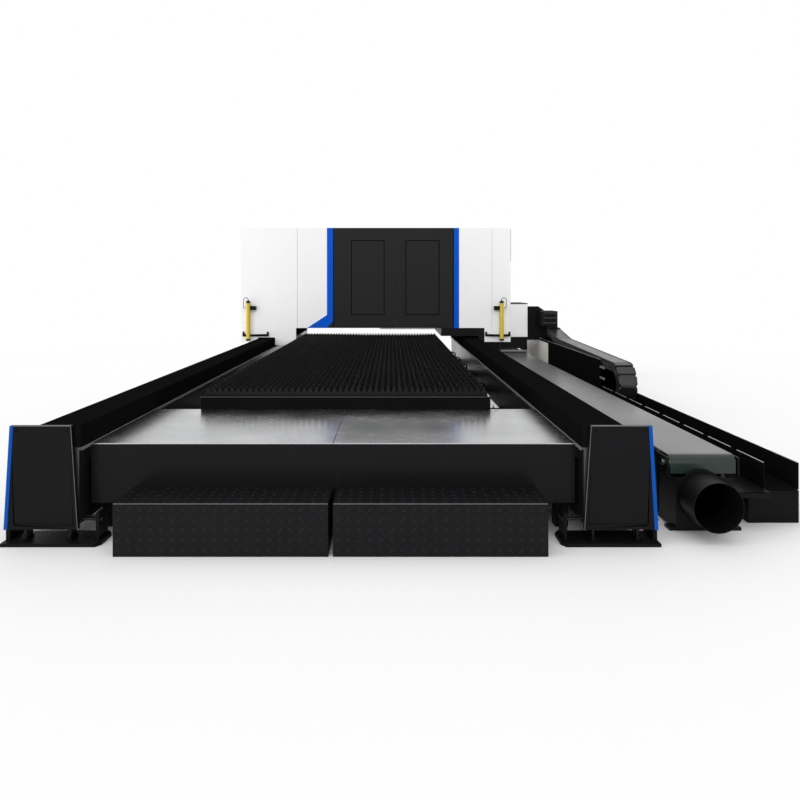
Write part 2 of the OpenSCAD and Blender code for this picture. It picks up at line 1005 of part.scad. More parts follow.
module pinion_right() {
    put() pinion();
}

// the slot in a leg's skin that the rail cover and the saddle pass through
module cover_cut() {
    translate([cover_inner - cover_slot, 0])
        square([cover_width + 2 * cover_slot, cover_top + cover_slot]);
}

// the left leg's white skin: front, outer side and inner skirt
module left_leg_cover() {
    color(white)
        put() {
            along_y(gantry_y, gantry_y + panel)
                difference() {
                    polygon([
                        [-cabin_left, leg_bottom + 47], [-cover_outer, leg_bottom + 47],
                        [-cover_outer, leg_bottom], [-leg_inner, leg_bottom],
                        [-leg_inner, cabin_bottom], [-seam_left - 1.5, cabin_bottom],
                        [-seam_left - 1.5, gantry_top], [-cabin_left, gantry_top]
                    ]);
                    mirror([1, 0]) cover_cut();
                }
            span([-cabin_left, gantry_y + panel - eps, leg_bottom + 47],
                 [panel - cabin_left, gantry_back - panel, gantry_top]);
            span([-leg_inner - 15, gantry_y + panel - eps, leg_bottom],
                 [-leg_inner, gantry_back - panel, cabin_bottom]);
        }
}

// flare of the blue trim at the lower left, shared by the panel beside it
flare_top = [-trim_left_edge, cabin_bottom + 202];
flare_foot = [-door_left_edge - 402, cabin_bottom];

module left_front_panel() {
    color(white)
        put()
            along_y(gantry_y, gantry_y + panel)
                polygon([
                    [1.5 - seam_left, cabin_bottom], flare_foot, flare_top,
                    [-trim_left_edge, gantry_top], [1.5 - seam_left, gantry_top]
                ]);
}

module door_trims() {
    color(blue)
        put()
            along_y(gantry_y - 4, gantry_y + panel) {
                polygon([
                    flare_top, flare_foot, [-door_left_edge - 83, cabin_bottom],
                    [-door_left_edge - 83, cabin_bottom + 16],
                    [-door_left_edge, cabin_bottom + 102], [-door_left_edge, gantry_top],
                    [-trim_left_edge, gantry_top]
                ]);
                translate([door_right_edge, cabin_bottom])
                    square([trim_right_edge - door_right_edge, gantry_top - cabin_bottom]);
            }
}

module right_front_panel() {
    color(white)
        put()
            along_y(gantry_y, gantry_y + panel)
                translate([trim_right_edge, cabin_bottom])
                    square([seam_right - 1.5 - trim_right_edge, gantry_top - cabin_bottom]);
}

// the right leg's white skin: front with its lower tab, and outer side
module right_leg_cover() {
    color(white)
        put() {
            along_y(gantry_y, gantry_y + panel)
                polygon([
                    [tab_x, tab_low], [cabin_right, tab_low], [cabin_right, gantry_top],
                    [seam_right + 1.5, gantry_top], [seam_right + 1.5, cabin_bottom],
                    [tab_x, cabin_bottom]
                ]);
            span([cabin_right - panel, gantry_y + panel - eps, hood_top],
                 [cabin_right, gantry_back - panel, gantry_top]);
        }
}

// the dark panel at the right leg's foot, with its inner skirt
module right_lower_panel() {
    color(black)
        put() {
            along_y(gantry_y, gantry_y + panel)
                polygon([
                    [leg_inner, skirt_z], [cover_outer + cover_slot, skirt_z],
                    [cover_outer + cover_slot, leg_bottom + 47], [tab_x, leg_bottom + 47],
                    [tab_x, cabin_bottom], [leg_inner, cabin_bottom]
                ]);
            span([leg_inner, gantry_y + panel - eps, skirt_z],
                 [leg_inner + 15, gantry_back - panel, cabin_bottom]);
            span([leg_inner, gantry_y + panel - eps, cabin_bottom - 15],
                 [tab_x, gantry_y + 100, cabin_bottom]);
        }
}

// a ring round the two doors, with the pins that they turn on
module door_frame() {
    color(dark)
        put() {
            along_y(gantry_y, gantry_y + door_thick)
                polygon([
                    [-door_left_edge - 83, cabin_bottom], [door_right_edge, cabin_bottom],
                    [door_right_edge, door_z0 - door_gap], [-door_left_edge, door_z0 - door_gap],
                    [-door_left_edge, cabin_bottom + 102],
                    [-door_left_edge - 83, cabin_bottom + 16]
                ]);
            span([-door_left_edge, gantry_y, door_z1 + door_gap],
                 [door_right_edge, gantry_y + door_thick, gantry_top]);
            along_y(gantry_y + door_thick + door_gap, gantry_y + door_thick + 40)
                difference() {
                    translate([-door_left_edge - 60, cabin_bottom])
                        square([door_right_edge + door_left_edge + 120, gantry_top - cabin_bottom]);
                    translate([50 - door_left_edge, door_z0 + 40])
                        square([door_right_edge + door_left_edge - 100, door_z1 - door_z0 - 80]);
                }
            span([-door_left_edge, gantry_y + 10, cabin_bottom],
                 [door_right_edge, gantry_y + door_thick + 10, door_z0 - door_gap]);
            span([-door_left_edge, gantry_y + 10, door_z1 + door_gap],
                 [door_right_edge, gantry_y + door_thick + 10, gantry_top]);
            for (x = [-door_left_edge, door_right_edge - door_thick - 2 * door_gap])
                translate([x + door_gap + door_thick / 2, pivot_y, 0])
                    for (z = [door_z0 - door_gap - 5, door_z1 - 30])
                        translate([0, 0, z])
                            cylinder(r = pivot_r, h = 38);
        }
}

// a door leaf of some width, hinged at x = 0, with a pressed panel and a round hinge edge
module door_leaf(width, inset0, inset1) {
    difference() {
        union() {
            translate([0, 0, door_z0])
                cylinder(r = door_thick / 2, h = door_z1 - door_z0);
            span([0, -door_thick / 2, door_z0], [width, door_thick / 2, door_z1]);
        }
        span([inset0, -door_thick / 2 - 1, door_z0 + 175],
             [inset1, 8 - door_thick / 2, door_z1 - 175]);
        for (z = [door_z0 - 1, door_z1 - 34])
            translate([0, 0, z])
                cylinder(r = pivot_r + run_gap, h = 35);
    }
    span([inset0 + 14, -door_thick / 2, door_z0 + 189],
         [inset1 - 14, 10 - door_thick / 2, door_z1 - 189]);
}

module door_left() {
    hinge = door_gap + door_thick / 2 - door_left_edge;
    width = door_mid - door_gap / 2 - hinge;
    color(dark)
        put()
            translate([hinge, pivot_y, 0])
                door_leaf(width, width - 680, width - 160);
}

module door_right() {
    hinge = door_right_edge - door_gap - door_thick / 2;
    width = hinge - door_mid - door_gap / 2;
    color(dark)
        put()
            translate([hinge, pivot_y, 0])
                mirror([1, 0, 0])
                    door_leaf(width, width - 690, width - 160);
}

module roof_panel() {
    color(white)
        put()
            difference() {
                span([panel - cabin_left, gantry_y + panel + 50, gantry_top - panel],
                     [cabin_right - panel, gantry_back - panel, gantry_top]);
                span([panel - cabin_left + 40, gantry_y + panel + 90, gantry_top - panel - 1],
                     [cabin_right - panel - 40, gantry_back - panel - 40, gantry_top - sheet]);
            }
}

// back wall, raised over the rail covers
module rear_panel() {
    rise = cover_top + 30;
    color(white)
        put()
            along_y(gantry_back - panel, gantry_back)
                polygon([
                    [-cabin_left, rise], [-leg_inner, rise], [-leg_inner, cabin_bottom],
                    [leg_inner, cabin_bottom], [leg_inner, rise], [cabin_right, rise],
                    [cabin_right, gantry_top], [-cabin_left, gantry_top]
                ]);
}

// light curtain posts with their end caps
module curtain_posts() {
    color(yellow)
        put()
            for (x = [post_left, post_right])
                translate([x, post_y, 0]) {
                    translate([0, 0, post_z0])
                        cylinder(r = post_r, h = post_z1 - post_z0);
                    for (z = [post_z0, post_z1 - 27])
                        translate([0, 0, z])
                            cylinder(r = post_r + 2, h = 27);
                }
}

// a bent foot bracket with turned-up ends and a small upper clamp for one post
module curtain_bracket(outward, inward) {
    z = 722;
    translate([0, gantry_y, z])
        linear_extrude(34)
            polygon([
                [-outward, 0], [-outward, -25], [30 - outward, -25], [-45, -80], [45, -80],
                [inward - 45, -25], [inward, -25], [inward, 0], [inward - 55, 0],
                [40, -55], [-40, -55], [45 - outward, 0]
            ]);
    span([-outward, gantry_y - 25, z + 1], [30 - outward, gantry_y - 19, z + 72]);
    span([inward - 30, gantry_y - 25, z + 1], [inward, gantry_y - 19, z + 72]);
    span([-20, gantry_y - 80, post_z1 - 137], [105, gantry_y, post_z1 - 77]);
}

module curtain_brackets() {
    color(black)
        put() {
            translate([post_left, 0, 0])
                curtain_bracket(105, 299);
            translate([post_right, 0, 0])
                mirror([1, 0, 0])
                    curtain_bracket(150, 241);
        }
}

// a short lead from a post's top, over to its outer side and back into the panel
module curtain_cable() {
    r = 4.4;
    bend = 35;
    drop = 90;
    back = gantry_y - post_y - bend;
    cylinder(r = r, h = 20);
    translate([-bend, 0, 20])
        rotate([90, 0, 0])
            rotate_extrude(angle = 180)
                translate([bend, 0])
                    circle(r = r);
    translate([-2 * bend, 0, 20 - drop])
        cylinder(r = r, h = drop);
    translate([-2 * bend, bend, 20 - drop])
        rotate([90, 0, 90])
            rotate([0, 0, 180])
                rotate_extrude(angle = 90)
                    translate([bend, 0])
                        circle(r = r);
    translate([-2 * bend, bend, 20 - drop - bend])
        rotate([-90, 0, 0])
            cylinder(r = r, h = back);
}

module curtain_cables() {
    color(black)
        put() {
            translate([post_left, post_y, post_z1])
                curtain_cable();
            translate([post_right, post_y, post_z1])
                mirror([1, 0, 0])
                    curtain_cable();
        }
}

module side_cabinet() {
    color(white)
        put()
            span([cabin_right, gantry_y + 40, hood_top],
                 [cabin_right + cabinet_w, gantry_y + 700, hood_top + 511]);
}

// plate and arm that carry the moving end of the chain
module chain_bracket() {
    x0 = cabin_right + cabinet_w;
    color(black)
        put() {
            along_y(gantry_y + 60, gantry_y + 80)
                polygon([
                    [x0, hood_top], [duct_x + hood_half + 4, hood_top],
                    [duct_x + hood_half + 4, 660], [chain_x - 140, 660], [chain_x - 140, 690],
                    [chain_x + 100, 690], [chain_x + 100, 1015], [chain_x - 150, 1184], [x0, 1184]
                ]);
            span([hang_x0, hang_y + 8, hanger_z0], [hang_x1, gantry_y + 61, hanger_z1]);
            span([chain_x - chain_width / 2, hang_y + 8, hang_z - 45], [hang_x1, hang_y + 20, hanger_z0 + 5]);
        }
}

// hood that rides over the belt, open underneath
module suction_hood() {
    color(black)
        put()
            difference() {
                span([duct_x - hood_half, hood_y0, belt_top + 12],
                     [duct_x + hood_half, hood_y1, hood_top]);
                span([duct_x - hood_half + duct_wall, hood_y0 + duct_wall, belt_top],
                     [duct_x + hood_half - duct_wall, hood_y1 - duct_wall, hood_top - duct_wall]);
                span([duct_x - hood_half + duct_wall, hood_y0 - 1, belt_top],
                     [duct_x + hood_half - duct_wall, hood_y1 + 1, press_z + press_r + 20]);
                for (y = [press_y0, press_y1])
                    translate([duct_x - hood_half - 1, y, press_z])
                        rotate([0, 90, 0])
                            cylinder(r = axle_r + run_gap, h = 2 * hood_half + 2);
            }
}

// a pressing roller inside one end of the hood
module press_roller(y) {
    color(steel)
        put()
            translate([duct_x, y, press_z])
                rotate([0, 90, 0]) {
                    cylinder(r = press_r, h = 2 * (hood_half - duct_wall - 1), center = true);
                    cylinder(r = axle_r, h = 2 * hood_half, center = true);
                }
}

module hood_roller_front() {
    press_roller(press_y0);
}

module hood_roller_rear() {
    press_roller(press_y1);
}

// the carriage that runs along the cross beam, with its upright slide
module head_carriage() {
    y = carriage_y;
    color(dark)
        put()
            translate([head_x, 0, 0]) {
                span([-carriage_half, y - 40, beam_z0 + 10], [carriage_half, y - 10, beam_z1 - 10]);
                for (z = [beam_z0 + 60, beam_z1 - 60])
                    difference() {
                        span([-carriage_half, y - 11, z - 35], [carriage_half, y + 20, z + 35]);
                        span([-carriage_half - 1, y + 4 - slide_gap, z - 15 - slide_gap],
                             [carriage_half + 1, y + 30, z + 15 + slide_gap]);
                    }
                span([-90, y - 60, 1060], [90, y - 39, beam_z1 - 40]);
                for (x = [-70, 50])
                    span([x, y - 75, 1070], [x + 20, y - 59, beam_z1 - 60]);
            }
}

// slide plate, head body, collimator and nozzle
module cutting_head() {
    y = carriage_y - 75 - slide_gap;
    color(steel)
        put()
            translate([head_x, 0, 0]) {
                span([-85, y - 25, 1100], [85, y, 1330]);
                translate([0, y - 80, 0]) {
                    span([-50, -60, 1020], [50, 60, 1290]);
                    translate([0, 0, 1290])
                        cylinder(r = 32, h = 180);
                    translate([0, 0, 900])
                        cylinder(r = 38, h = 121);
                    translate([0, 0, nozzle_z + 25])
                        cylinder(r1 = 16, r2 = 30, h = 46);
                    translate([0, 0, nozzle_z])
                        cylinder(r1 = 4, r2 = 14, h = 26);
                }
            }
}

rail_beam_left();
rail_beam_right();
guide_rails();
gear_racks();
rail_cover_left();
rail_cover_right();
front_end_caps();
rear_end_caps();
cap_trims();
feet();
jack_bolts();
deck_plates();
deck_frame();
deck_front_panel();
table_frame();
slats();
slag_trays();
bed_frame();
air_pipes();
step_left();
step_right();
duct_trough();
outlet_collar();
belt();
belt_end_rollers();
belt_brackets();
chain_trough_low();
chain_trough_high();
trough_panel();
trough_stands();
chain_lower();
end_trucks();
cross_beam();
bearing_blocks();
drive_motors();
left_leg_cover();
left_front_panel();
right_front_panel();
right_leg_cover();
right_lower_panel();
door_trims();
door_frame();
roof_panel();
rear_panel();
curtain_posts();
curtain_brackets();
curtain_cables();
side_cabinet();
chain_bracket();
suction_hood();
chain_upper();
door_left();
door_right();
head_carriage();
cutting_head();
pinion_left();
pinion_right();
hood_roller_front();
hood_roller_rear();
chain_loop();
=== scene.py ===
import bpy
import bmesh
import math
from mathutils import Matrix, Vector


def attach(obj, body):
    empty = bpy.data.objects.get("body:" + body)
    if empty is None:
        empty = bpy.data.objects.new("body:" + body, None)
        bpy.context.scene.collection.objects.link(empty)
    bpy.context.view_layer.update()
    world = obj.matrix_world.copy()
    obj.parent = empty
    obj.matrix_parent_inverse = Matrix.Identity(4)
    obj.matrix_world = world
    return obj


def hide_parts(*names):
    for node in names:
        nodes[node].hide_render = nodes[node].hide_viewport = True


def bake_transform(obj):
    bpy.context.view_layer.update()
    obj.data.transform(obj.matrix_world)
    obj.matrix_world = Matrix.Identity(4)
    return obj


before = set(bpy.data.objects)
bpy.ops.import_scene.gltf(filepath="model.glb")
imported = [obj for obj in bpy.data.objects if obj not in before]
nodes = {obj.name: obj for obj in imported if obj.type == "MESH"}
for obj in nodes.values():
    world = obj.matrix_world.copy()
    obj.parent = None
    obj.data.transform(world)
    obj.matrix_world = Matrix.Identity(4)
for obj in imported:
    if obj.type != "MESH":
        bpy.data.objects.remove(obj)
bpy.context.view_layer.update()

# Where the drawing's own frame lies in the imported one, in millimetres: its x = 0 is midway between
# the rails and its y = 0 is the front of the end caps.
ORIGIN = Vector((475.5, 4365.0, 0.0))


def at(x, y, z):
    """A point of the drawing, in millimetres, as a point of the scene, in metres."""
    return (Vector((x, y, z)) - ORIGIN) / 1000.0


# Places that several pieces share, in millimetres of the drawing
SIDES = (-1, 1)
STEP_WIDTH = 1195.0
STEP_STARTS = {"step_lugs_left": -1195.5, "step_lugs_right": 24.5}
STEP_FRONT = -170.0
STEP_DEPTH = 315.0
STEP_HEIGHT = 284.0
TROUGH_WALLS = (2679, 2893)
# Each light curtain post's middle, and the way from it to the machine's outside.
POSTS = {"left": (-1843, -1), "right": (2044, 1)}
POST_Y = 6590
# The cable chain's middle, the middle of its loop, and the loop's radius at the links' pins.
CHAIN_X = 2790
LOOP_Y = 3340
LOOP_Z = 464
LOOP_RADIUS = 180
CHAIN_HALF = 95
# The cutting head's axis and the gear motors' axes.
HEAD_AXIS = (0, 7070.5)
MOTOR_X = 1798.5
MOTOR_Y = 7000
# The cabin's outer faces, sunk by half a millimetre so that what lies on them has no gap under it.
ROOF_FACE = 2399.5
BACK_FACE = 8199.5
LEFT_FACE = -1978.5
RIGHT_FACE = 2199.5


# Materials

def linear(hex_colour):
    """An sRGB hex colour as linear RGBA."""
    channels = [int(hex_colour[i:i + 2], 16) / 255.0 for i in (1, 3, 5)]
    return [c / 12.92 if c <= 0.04045 else ((c + 0.055) / 1.055) ** 2.4 for c in channels] + [1.0]


def add(tree, kind, values=None, links=None, **settings):
    """A shader node with its settings, its input values and the sockets that feed it."""
    made = tree.nodes.new(kind)
    for key, value in settings.items():
        setattr(made, key, value)
    for key, value in (values or {}).items():
        made.inputs[key].default_value = value
    for key, socket in (links or {}).items():
        tree.links.new(socket, made.inputs[key])
    return made


def surface(name, colour, shade, rough, spread=0.06, metallic=0.0, level=0.5,
            cloud_mm=400.0, grain_mm=2.0, depth_mm=0.05, stretch=(1.0, 1.0, 1.0)):
    """A finish whose colour and roughness drift over cloud_mm and whose skin has a grain of grain_mm.

    stretch slows the grain along an axis, as brushing or rolling does."""
    material = bpy.data.materials.new(name)
    material.use_nodes = True
    tree = material.node_tree
    shader = tree.nodes["Principled BSDF"]
    shader.inputs["Metallic"].default_value = metallic
    shader.inputs["Specular IOR Level"].default_value = level
    place = add(tree, "ShaderNodeTexCoord").outputs["Object"]
    drift = add(tree, "ShaderNodeTexNoise", {"Scale": 1000.0 / cloud_mm, "Detail": 4.0},
                {"Vector": place}).outputs["Fac"]
    tint = add(tree, "ShaderNodeMix", {6: linear(colour), 7: linear(shade)}, {0: drift}, data_type="RGBA")
    tree.links.new(tint.outputs[2], shader.inputs["Base Color"])
    along = add(tree, "ShaderNodeMapping", {"Scale": stretch}, {"Vector": place}).outputs["Vector"]
    grain = add(tree, "ShaderNodeTexNoise", {"Scale": 1000.0 / grain_mm, "Detail": 2.0},
                {"Vector": along}).outputs["Fac"]
    both = add(tree, "ShaderNodeMath", links={0: drift, 1: grain}, operation="ADD").outputs[0]
    dull = add(tree, "ShaderNodeMapRange", {"From Min": 0.6, "From Max": 1.4, "To Min": rough - spread,
                                            "To Max": rough + spread}, {"Value": both}).outputs[0]
    tree.links.new(dull, shader.inputs["Roughness"])
    relief = add(tree, "ShaderNodeBump", {"Strength": 1.0, "Distance": depth_mm / 1000.0},
                 {"Height": grain}).outputs[0]
    tree.links.new(relief, shader.inputs["Normal"])
    return material


def tint_along(material, axis, low, high, colour):
    """A finish turns to another colour from low to high, in metres from the middle along an axis."""
    tree = material.node_tree
    place = add(tree, "ShaderNodeTexCoord").outputs["Object"]
    along = add(tree, "ShaderNodeSeparateXYZ", links={0: place}).outputs[axis]
    away = add(tree, "ShaderNodeMath", links={0: along}, operation="ABSOLUTE").outputs[0]
    share = add(tree, "ShaderNodeMapRange", {"From Min": low, "From Max": high}, {"Value": away}).outputs[0]
    base = tree.nodes["Principled BSDF"].inputs["Base Color"]
    mixed = add(tree, "ShaderNodeMix", {7: linear(colour)}, {0: share, 6: base.links[0].from_socket},
                data_type="RGBA")
    tree.links.new(mixed.outputs[2], base)


# Baked powder coat on welded steel: deep black with a fine orange peel, satin.
black_coat = surface("black_powder_coat", "#0D0D0F", "#121214", 0.45, level=0.06, grain_mm=4, depth_mm=0.06)
# The same coat on folded sheet, smoother, so that faces turn a little grey at a glancing look.
black_sheet = surface("black_satin_coat_on_sheet", "#0E0E10", "#131315", 0.36, level=0.08,
                      grain_mm=6, depth_mm=0.04)
# Matt black paint of the rail covers, which stay black even when seen along their length.
black_matt = surface("black_matt_paint", "#0F0F10", "#141415", 0.62, level=0.0, grain_mm=3, depth_mm=0.08)
# Gloss black of the rail beams, which mirror the floor and the table along their length.
black_gloss = surface("black_gloss_coat", "#0D0D0F", "#121214", 0.32, level=0.9, grain_mm=6, depth_mm=0.03)
# Sprayed enamel on steel panels: flat white, faint orange peel.
white_enamel = surface("white_enamel", "#F4F4F4", "#F0F0F1", 0.34, level=0.3,
                       cloud_mm=900, grain_mm=5, depth_mm=0.03)
# Strong blue enamel of the trims.
blue_enamel = surface("blue_enamel", "#0058D0", "#0050C6", 0.36, level=0.05, grain_mm=5, depth_mm=0.03)
# The same blue on the caps' narrow strips, as a darker copy that paints the shade these strips sit in.
shaded_strip_blue = surface("blue_enamel_painted_shade", "#0A4EA6", "#0C479A", 0.4, level=0.05, grain_mm=5, depth_mm=0.03)
# Safety yellow enamel of the light curtain posts.
yellow_enamel = surface("safety_yellow_enamel", "#DCC238", "#D0B634", 0.36, level=0.2,
                        grain_mm=4, depth_mm=0.03)
# Charcoal paint of the doors, dull.
charcoal_paint = surface("charcoal_door_paint", "#1F1F20", "#252526", 0.5, level=0.08,
                         grain_mm=4, depth_mm=0.05)
# Black gloss sheet at the front of the deck, which shows a hint of the floor.
gloss_sheet = surface("black_gloss_sheet", "#0E0E10", "#131315", 0.24, level=0.1,
                      cloud_mm=700, grain_mm=8, depth_mm=0.05)
# Rolled stainless sheet, brushed across the machine: mirrors its surroundings, with drawn-out streaks.
deck_steel = surface("brushed_stainless_sheet", "#C2C3C4", "#A8A9AB", 0.24, 0.07, metallic=1.0,
                     cloud_mm=350, grain_mm=3, depth_mm=0.012, stretch=(0.03, 1.0, 1.0))
# Ground steel of guide rails, racks, end rollers and bolts: bright, with fine grinding marks.
ground_steel = surface("ground_steel", "#B9BABC", "#A3A5A8", 0.28, metallic=1.0,
                       cloud_mm=60, grain_mm=1.5, depth_mm=0.01)
# Laser-cut mild steel slats: nearly black mill scale, dull, a little paler at the teeth's points, partly from
# wear and partly as a painted highlight of the light the points catch.
slat_steel = surface("mill_scale_steel", "#121213", "#1A1918", 0.42, 0.1, metallic=0.9,
                     cloud_mm=90, grain_mm=3, depth_mm=0.08)
# Painted highlight, in part wear: the teeth's points turn paler with height.
tint_along(slat_steel, "Z", 0.69, 0.717, "#1E1E1D")
# Blackened steel of the jack bolts, with an oily sheen.
black_oxide = surface("black_oxide_steel", "#1C1C1D", "#262627", 0.36, metallic=0.8,
                      cloud_mm=40, grain_mm=2, depth_mm=0.02)
# Zinc plated tube of the hood's rollers, dulled by dust.
roller_steel = surface("dusty_zinc_plate", "#7C7B78", "#6A6967", 0.5, metallic=0.6,
                       cloud_mm=90, grain_mm=2, depth_mm=0.02)
# Pale grey metal strips, even and a little dull; along the chain trough's walls they paint the highlight of
# the walls' top edges.
pale_strip = surface("pale_grey_strip", "#B4B5B7", "#A2A4A6", 0.4, metallic=0.7,
                     cloud_mm=120, grain_mm=3, depth_mm=0.02)
# Mid grey paint for thin lines along edges, which paints the highlight that these edges catch.
edge_highlight_grey = surface("edge_highlight_paint", "#7A7A7C", "#606062", 0.45, level=0.3,
                    cloud_mm=60, grain_mm=3, depth_mm=0.03)
# Grey stove enamel of the panel on the chain trough, its colour painted much lighter than its own warm light
# grey to make up for the shade the panel stands in.
grey_enamel_painted_light = surface("grey_enamel_painted_light", "#EFEBE3", "#E4E0D8", 0.36, level=0.2, grain_mm=5, depth_mm=0.03)
# Rolled tread plate under black paint, worn a little glossy.
tread_paint = surface("painted_tread_plate", "#0F0F11", "#151517", 0.38, level=0.1,
                      cloud_mm=200, grain_mm=3, depth_mm=0.06)
# The lugs of the tread plate, rubbed shinier than the sheet between them.
lug_paint = surface("rubbed_tread_lugs", "#121214", "#18181A", 0.34, level=0.18,
                    cloud_mm=60, grain_mm=2, depth_mm=0.03)
# Dark green conveyor PVC, shiny at a glancing look; its top gets a mid grey colour that paints the pale sheen
# it shows from the front, and its own dark green shows at the turned ends.
belt_pvc_painted_sheen = surface("conveyor_pvc_painted_sheen", "#565655", "#4C4C4B", 0.3, 0.05, level=0.5,
                   cloud_mm=500, grain_mm=2.5, depth_mm=0.02)
tint_along(belt_pvc_painted_sheen, "Y", 4.02, 4.1, "#0A2018")
# Moulded nylon of the chain links, black with a soft sheen.
chain_nylon = surface("moulded_nylon", "#131314", "#19191B", 0.3, level=0.5,
                      cloud_mm=150, grain_mm=2, depth_mm=0.05)
# Extruded rubber of cable sheaths and seals, dull black.
cable_rubber = surface("cable_sheath", "#0C0C0D", "#121213", 0.5, level=0.1,
                       cloud_mm=60, grain_mm=1.5, depth_mm=0.03)
# Paint on cast motor housings, coarse.
casting_paint = surface("painted_casting", "#333436", "#2C2D2F", 0.5, level=0.25,
                        cloud_mm=80, grain_mm=3, depth_mm=0.2)
# Oxide and slag dust on the trays.
tray_oxide = surface("slag_stained_sheet", "#3A332E", "#2A2826", 0.7, metallic=0.3,
                     cloud_mm=120, grain_mm=8, depth_mm=0.4)
# Dark window of the light curtain, hard and shiny.
curtain_window = surface("tinted_acrylic", "#120E12", "#171217", 0.12, level=0.5,
                         cloud_mm=80, grain_mm=10, depth_mm=0.01)
# Stiff grey PVC of the strips that hang behind the cabin, which let light through.
strip_pvc = surface("grey_strip_pvc", "#D9DADB", "#CBCCCE", 0.5, level=0.4,
                    cloud_mm=100, grain_mm=3, depth_mm=0.03)
strip_pvc.node_tree.nodes["Principled BSDF"].inputs["Transmission Weight"].default_value = 0.7
# Turned copper of the nozzle.
copper = surface("turned_copper", "#B8703F", "#A86235", 0.25, metallic=1.0,
                 cloud_mm=20, grain_mm=1, depth_mm=0.005)

FINISHES = {
    black_gloss: ["rail_beam_left", "rail_beam_right"],
    black_coat: ["feet", "deck_frame", "bed_frame", "air_pipes", "trough_stands", "end_trucks",
                 "curtain_brackets", "belt_brackets", "chain_bracket"],
    black_sheet: ["front_end_caps", "rear_end_caps", "duct_trough", "outlet_collar",
                  "right_lower_panel", "suction_hood"],
    black_matt: ["rail_cover_left", "rail_cover_right", "table_frame", "chain_trough_low",
                 "chain_trough_high"],
    white_enamel: ["cross_beam", "left_leg_cover", "left_front_panel", "right_front_panel",
                   "right_leg_cover", "roof_panel", "rear_panel", "side_cabinet"],
    blue_enamel: ["door_trims"],
    shaded_strip_blue: ["cap_trims"],
    yellow_enamel: ["curtain_posts"],
    charcoal_paint: ["door_left", "door_right", "door_frame", "head_carriage"],
    gloss_sheet: ["deck_front_panel"],
    deck_steel: ["deck_plates"],
    ground_steel: ["guide_rails", "gear_racks", "belt_end_rollers", "bearing_blocks", "pinion_left",
                   "pinion_right", "cutting_head"],
    black_oxide: ["jack_bolts"],
    roller_steel: ["hood_roller_front", "hood_roller_rear"],
    slat_steel: ["slats"],
    grey_enamel_painted_light: ["trough_panel"],
    tread_paint: ["step_left", "step_right"],
    belt_pvc_painted_sheen: ["belt"],
    chain_nylon: ["chain_loop", "chain_upper", "chain_lower"],
    cable_rubber: ["curtain_cables"],
    casting_paint: ["drive_motors"],
    tray_oxide: ["slag_trays"],
}
for finish, names in FINISHES.items():
    for name in names:
        nodes[name].data.materials.clear()
        nodes[name].data.materials.append(finish)


def soften(names, width_mm):
    """Folded and machined edges catch a thin line of light."""
    for name in names:
        weld = nodes[name].modifiers.new("join", "WELD")
        weld.merge_threshold = 1e-5
        edge = nodes[name].modifiers.new("edge", "BEVEL")
        edge.width = width_mm / 1000.0
        edge.segments = 2
        edge.limit_method = "ANGLE"
        edge.angle_limit = math.radians(40)
        edge.harden_normals = True


soften(["front_end_caps", "rear_end_caps", "step_left", "step_right"], 3.0)
soften(["rail_cover_left", "rail_cover_right", "deck_front_panel", "side_cabinet", "left_leg_cover",
        "left_front_panel", "right_front_panel", "right_leg_cover", "door_left", "door_right"], 2.0)
soften(["deck_plates"], 0.8)
soften(["feet", "door_trims"], 1.5)


# Shared ways of making a piece

def piece(name, bm, material, body):
    """The finished mesh as an object that rides on a body, or is still to be blended where there is none."""
    bmesh.ops.recalc_face_normals(bm, faces=bm.faces)
    mesh = bpy.data.meshes.new(name)
    bm.to_mesh(mesh)
    bm.free()
    mesh.materials.append(material)
    made = bpy.data.objects.new(name, mesh)
    bpy.context.scene.collection.objects.link(made)
    if body:
        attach(made, body)
    return made


def block(bm, low, high, edge_mm=0.0):
    """A block between two corners of the drawing, with its edges eased."""
    a, b = at(*low), at(*high)
    made = bmesh.ops.create_cube(bm, size=1.0)["verts"]
    bmesh.ops.scale(bm, vec=b - a, verts=made)
    bmesh.ops.translate(bm, vec=(a + b) / 2.0, verts=made)
    if edge_mm:
        edges = list(dict.fromkeys(e for v in made for e in v.link_edges))
        bmesh.ops.bevel(bm, geom=edges, offset=edge_mm / 1000.0, offset_type="OFFSET", affect="EDGES",
                        segments=2, profile=0.5, material=-1)


def plates(name, material, body, boxes):
    """Blocks of one finish as one piece: each box has two corners and the width of its eased edges."""
    bm = bmesh.new()
    for low, high, edge_mm in boxes:
        block(bm, low, high, edge_mm)
    piece(name, bm, material, body)


def on_side(side, low, high):
    """Two corners given for the right-hand side of the rails, as they lie on either side."""
    x0, x1 = sorted((side * low[0], side * high[0]))
    return (x0, *low[1:]), (x1, *high[1:])


def disc(bm, centre, axis, radius_mm, height_mm, sides=12, top=0.85):
    """A low round or six-sided head standing on a face, its axis pointing out of it."""
    turn = Vector((0, 0, 1)).rotation_difference(Vector(axis)).to_matrix().to_4x4()
    lift = Matrix.Translation(at(*centre) + Vector(axis) * height_mm / 2000.0)
    bmesh.ops.create_cone(bm, cap_ends=True, segments=sides, radius1=radius_mm / 1000.0,
                          radius2=radius_mm * top / 1000.0, depth=height_mm / 1000.0, matrix=lift @ turn)


def hex_head(bm, centre, axis, radius_mm, height_mm):
    """A bolt's six-sided head standing on a face."""
    disc(bm, centre, axis, radius_mm, height_mm, sides=6, top=1.0)


def rod(bm, start, end, radius_mm, sides=8):
    """A straight round bar between two points of the drawing."""
    a, b = at(*start), at(*end)
    turn = Vector((0, 0, 1)).rotation_difference(b - a).to_matrix().to_4x4()
    bmesh.ops.create_cone(bm, cap_ends=True, segments=sides, radius1=radius_mm / 1000.0,
                          radius2=radius_mm / 1000.0, depth=(b - a).length,
                          matrix=Matrix.Translation((a + b) / 2.0) @ turn)


# Tread plate lugs on the steps

LUG_COLUMNS = 20
LUG_ROWS = 5
ALMOND = Matrix.Diagonal((1.0, 0.33, 1.0, 1.0))
FACING_FRONT = Matrix.Rotation(math.radians(90), 4, "X")


